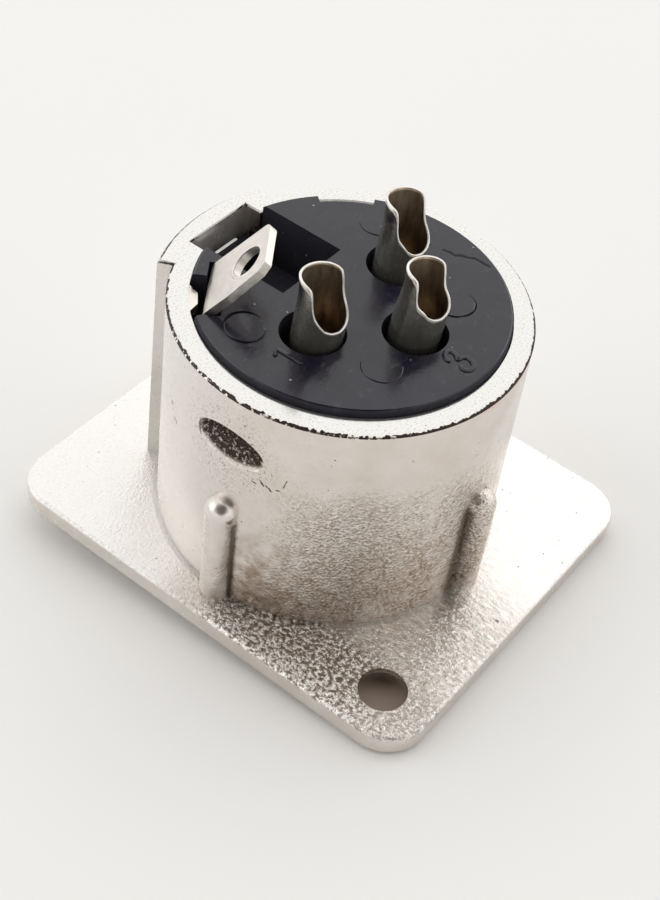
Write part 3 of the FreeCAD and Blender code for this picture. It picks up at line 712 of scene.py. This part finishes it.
def contact_mesh(node):
    foot, centre, lean, low_r, high_r, turn, lift = CUPS[node]
    bm = bmesh.new()
    zone = bm.faces.layers.float.new("zone")
    mouth = [(PIN_R + 0.12, SLEEVE_Z), (SLEEVE_R - 0.1, SLEEVE_Z), (SLEEVE_R, SLEEVE_Z + 0.12)]
    half_slot = math.asin(0.175 / SLEEVE_R)
    lower = mouth + [(SLEEVE_R, SLOT_TOP_Z), (PIN_R, SLOT_TOP_Z), (PIN_R, SLEEVE_Z + 0.15)]
    for middle in (0.0, math.pi):
        a0 = middle + half_slot
        lathe(bm, lower, foot[0], foot[1], 28, a0, a0 + math.pi - 2.0 * half_slot)
    upper = [
        (PIN_R, SLOT_TOP_Z), (SLEEVE_R, SLOT_TOP_Z), (SLEEVE_R, COLLAR_Z0), (COLLAR_R, COLLAR_Z0),
        (COLLAR_R, COLLAR_Z1 - 0.12), (COLLAR_R - 0.12, COLLAR_Z1), (0.02, COLLAR_Z1),
        (0.02, BORE_TOP_Z), (PIN_R, BORE_TOP_Z),
    ]
    lathe(bm, upper, foot[0], foot[1], 64)
    cup_wall(bm, zone, foot, centre, lean, low_r, high_r, turn, lift)
    bmesh.ops.recalc_face_normals(bm, faces=bm.faces)
    mesh = bpy.data.meshes.new("solder_" + node)
    bm.to_mesh(mesh)
    bm.free()
    return mesh


for node in ("contact_1", "contact_2", "contact_3"):
    piece = add_piece("solder_" + node, contact_mesh(node), CONTACT)
    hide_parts(node)


# Numerals moulded on the insert beside the contacts, as centre lines in millimetres
NUMERAL_HALF_WIDTH = 0.165
NUMERAL_HEIGHT = 0.085
ONE = [(-0.42, 0.62), (-0.03, 0.79), (0.0, -0.79)]
TWO = [
    (-0.44, 0.42), (-0.30, 0.74), (0.0, 0.86), (0.32, 0.72), (0.42, 0.42), (0.28, 0.10),
    (-0.12, -0.38), (-0.48, -0.84), (0.48, -0.84),
]
THREE = [
    (-0.47, 0.44), (-0.44, 0.64), (-0.25, 0.84), (0.01, 0.93), (0.22, 0.84), (0.29, 0.62),
    (0.17, 0.31), (-0.08, 0.07), (0.20, 0.04), (0.40, -0.09), (0.47, -0.33), (0.38, -0.63),
    (0.17, -0.86), (-0.15, -0.94), (-0.40, -0.84), (-0.46, -0.62), (-0.39, -0.40),
]


def rounded_line(points, rounds):
    """Cuts the corners of a line a few times over."""
    for step in range(rounds):
        softer = [points[0]]
        for (x0, y0), (x1, y1) in zip(points, points[1:]):
            softer.append((0.75 * x0 + 0.25 * x1, 0.75 * y0 + 0.25 * y1))
            softer.append((0.25 * x0 + 0.75 * x1, 0.25 * y0 + 0.75 * y1))
        points = softer + [points[-1]]
    return points


def numeral(text, points, x, y, rounds):
    line = rounded_line(points, rounds)
    half = NUMERAL_HALF_WIDTH
    ends = [(-math.sin(t), math.cos(t)) for t in (1.5, 1.0, 0.5)]
    stations = []
    first = Vector((line[1][0] - line[0][0], line[1][1] - line[0][1])).normalized()
    last = Vector((line[-1][0] - line[-2][0], line[-1][1] - line[-2][1])).normalized()
    for back, thin in ends:
        stations.append((Vector(line[0]) + first * half * back, first, thin))
    for index, point in enumerate(line):
        before = Vector(line[max(index - 1, 0)])
        after = Vector(line[min(index + 1, len(line) - 1)])
        stations.append((Vector(point), (after - before).normalized(), 1.0))
    for back, thin in reversed(ends):
        stations.append((Vector(line[-1]) - last * half * back, last, thin))
    section = ((-1.0, -0.3), (-0.86, 0.75), (-0.6, 1.0), (0.6, 1.0), (0.86, 0.75), (1.0, -0.3))
    bm = bmesh.new()
    rows = []
    for spot, way, thin in stations:
        side = Vector((-way.y, way.x))
        row = []
        for across, rise in section:
            edge = spot + side * across * half * thin
            row.append(mm_vert(bm, x + edge.x, y + edge.y, FACE_Z + rise * NUMERAL_HEIGHT))
        rows.append(row)
    for near, away in zip(rows, rows[1:]):
        for k in range(len(section)):
            n = (k + 1) % len(section)
            bm.faces.new((near[k], away[k], away[n], near[n]))
    bm.faces.new(rows[0])
    bm.faces.new(list(reversed(rows[-1])))
    bmesh.ops.recalc_face_normals(bm, faces=bm.faces)
    mesh = bpy.data.meshes.new("numeral_" + text)
    bm.to_mesh(mesh)
    bm.free()
    return add_piece("numeral_" + text, mesh, PLASTIC)


numeral("1", ONE, -6.50, -0.50, 0)
numeral("2", TWO, 6.42, 0.42, 2)
numeral("3", THREE, -0.17, -7.53, 2)


# Raised discs left by the ejector pins of the mould
def ejector_disc(index, x, y, radius, height):
    bm = bmesh.new()
    around = 56
    rings = []
    for r, z in ((radius, -0.12), (radius, height - 0.03), (radius - 0.04, height)):
        ring = []
        for step in range(around):
            a = 2.0 * math.pi * step / around
            worn = r * (1.0 + 0.012 * math.sin(3.0 * a + index) + 0.008 * math.sin(7.0 * a))
            ring.append(mm_vert(bm, x + worn * math.cos(a), y + worn * math.sin(a), FACE_Z + z))
        rings.append(ring)
    for near, away in zip(rings, rings[1:]):
        for k in range(around):
            n = (k + 1) % around
            bm.faces.new((near[k], near[n], away[n], away[k]))
    bm.faces.new(rings[-1])
    bm.faces.new(list(reversed(rings[0])))
    bmesh.ops.recalc_face_normals(bm, faces=bm.faces)
    mesh = bpy.data.meshes.new("ejector_disc_%d" % index)
    bm.to_mesh(mesh)
    bm.free()
    return add_piece("ejector_disc_%d" % index, mesh, PLASTIC, smooth=False)


ejector_disc(1, -6.45, 2.66, 1.17, 0.09)
ejector_disc(2, -3.68, -4.76, 1.19, 0.05)
ejector_disc(3, 6.30, 2.88, 1.17, 0.05)
ejector_disc(4, 3.58, -4.62, 1.19, 0.07)


# Burr raised round the hole of the tag by its punch: middle of the hole in millimetres, its axis, and
# half the tag's thickness
TAG_HOLE = (-4.158, 4.416, 19.005)
TAG_AXIS = (-0.420, 0.632, 0.651)
TAG_FACE = 0.25


def tag_burr():
    centre = Vector(TAG_HOLE)
    axis = Vector(TAG_AXIS).normalized()
    side = axis.cross(Vector((0.0, 0.0, 1.0))).normalized()
    lift = axis.cross(side)
    bm = bmesh.new()
    around = 72
    rings = []
    for step in range(around):
        a = 2.0 * math.pi * step / around
        height = 0.045 + 0.03 * math.sin(a + 0.6) + 0.01 * math.sin(5.0 * a)
        profile = [(1.04, -0.02), (1.04, 0.5 * height), (1.09, height), (1.16, 0.6 * height), (1.22, -0.02)]
        ring = []
        for r, h in profile:
            spot = centre + axis * (TAG_FACE + h) + (side * math.cos(a) + lift * math.sin(a)) * r
            ring.append(bm.verts.new(spot * MM))
        rings.append(ring)
    for step in range(around):
        near = rings[step]
        away = rings[(step + 1) % around]
        for k in range(5):
            n = (k + 1) % 5
            bm.faces.new((near[k], away[k], away[n], near[n]))
    bmesh.ops.recalc_face_normals(bm, faces=bm.faces)
    mesh = bpy.data.meshes.new("tag_burr")
    bm.to_mesh(mesh)
    bm.free()
    return add_piece("tag_burr", mesh, TAG)


tag_burr()


# Camera: focal length in pixels of a picture 900 high, distance and shifts in millimetres
FOCAL_PX = 1545.4
PICTURE_HEIGHT = 900.0
SENSOR_MM = 36.0
DISTANCE = 100.45
SHIFT_RIGHT = 0.38
SHIFT_UP = 2.64

level = Vector((math.cos(AZ), math.sin(AZ), 0.0))
up = BACK.cross(level)
right = math.cos(ROLL) * level + math.sin(ROLL) * up
top = -math.sin(ROLL) * level + math.cos(ROLL) * up
place = (BACK * DISTANCE + right * SHIFT_RIGHT + top * SHIFT_UP) * MM
camera_data = bpy.data.cameras.new("camera")
camera = bpy.data.objects.new("camera", camera_data)
bpy.context.scene.collection.objects.link(camera)
camera_data.sensor_width = SENSOR_MM
camera_data.lens = FOCAL_PX * SENSOR_MM / PICTURE_HEIGHT
camera_data.clip_start = 0.005
camera_data.clip_end = 20.0
camera.matrix_world = Matrix(
    (
        (right.x, top.x, BACK.x, place.x),
        (right.y, top.y, BACK.y, place.y),
        (right.z, top.z, BACK.z, place.z),
        (0.0, 0.0, 0.0, 1.0),
    )
)
bpy.context.scene.camera = camera


# Floor: it meets the flange's edge away from the latch and falls towards the latch side, where the
# lever stands proud; in metres and degrees
FLOOR_HALF = 1.5
FLOOR_TILT = 3.0
FLOOR_EDGE_Y = -0.0155
FLOOR_Z = -0.00155
# Middle of the painted shadow on the floor seen through the near screw hole, in millimetres
HOLE_SHADE_AT = (-9.9, -12.1, -1.6)


def pale_floor():
    mesh = bpy.data.meshes.new("floor")
    size = FLOOR_HALF
    slope = math.tan(math.radians(FLOOR_TILT))
    corners = []
    for x, y in ((-size, -size), (size, -size), (size, size), (-size, size)):
        corners.append((x, y, FLOOR_Z - (y - FLOOR_EDGE_Y) * slope))
    mesh.from_pydata(corners, [], [(0, 1, 2, 3)])
    obj = bpy.data.objects.new("floor", mesh)
    bpy.context.scene.collection.objects.link(obj)
    mat, tree, shader = new_material("floor_white")
    v = mm_coords(tree)
    soft = noise(tree, v, 0.02, 2.0)
    pale = ramp(tree, soft, [(0.3, (0.95, 0.945, 0.935)), (0.7, (0.965, 0.96, 0.95))])
    from_hole = vector_node(tree, "DISTANCE", v, HOLE_SHADE_AT)
    # Painted shadow on the floor under the near screw hole
    pale = mix_color(tree, span(tree, from_hole, 2.8, 1.9), pale, (0.50, 0.41, 0.345))
    link(tree, pale, shader.inputs["Base Color"])
    shader.inputs["Roughness"].default_value = 0.9
    shader.inputs["Specular IOR Level"].default_value = 0.1
    mesh.materials.append(mat)


# Metres from the object to each lamp
LIGHT_DISTANCE = 1.0


def area(name, direction, size, radiance):
    """A round soft light whose strength is given as the brightness of its face."""
    data = bpy.data.lights.new(name, "AREA")
    data.shape = "DISK"
    data.size = size
    data.energy = radiance * math.pi * math.pi * (size / 2.0) ** 2
    obj = bpy.data.objects.new(name, data)
    bpy.context.scene.collection.objects.link(obj)
    d = Vector(direction).normalized()
    obj.location = d * LIGHT_DISTANCE
    obj.rotation_mode = "QUATERNION"
    obj.rotation_quaternion = d.to_track_quat("Z", "Y")
    return obj


def studio():
    world = bpy.data.worlds.new("studio")
    bpy.context.scene.world = world
    world.use_nodes = True
    tree = world.node_tree
    ground = tree.nodes["Background"]
    coords = tree.nodes.new("ShaderNodeTexCoord")
    facing = vector_node(tree, "DOT_PRODUCT", coords.outputs["Generated"], tuple(BACK))
    shade = span(tree, facing, 0.68, 0.93)
    color = mix_color(tree, shade, (1.0, 0.99, 0.97), (0.04, 0.030, 0.022))
    link(tree, color, ground.inputs["Color"])
    ground.inputs["Strength"].default_value = 1.1
    area("key", (0.586, 0.361, 0.74), 1.44, 0.22)
    area("left_fill", (-0.62, 0.78, 0.42), 0.8, 0.7)
    area("right_fill", (0.93, -0.30, 0.12), 0.6, 0.8)


pale_floor()
studio()
bpy.context.scene.view_settings.view_transform = "Standard"
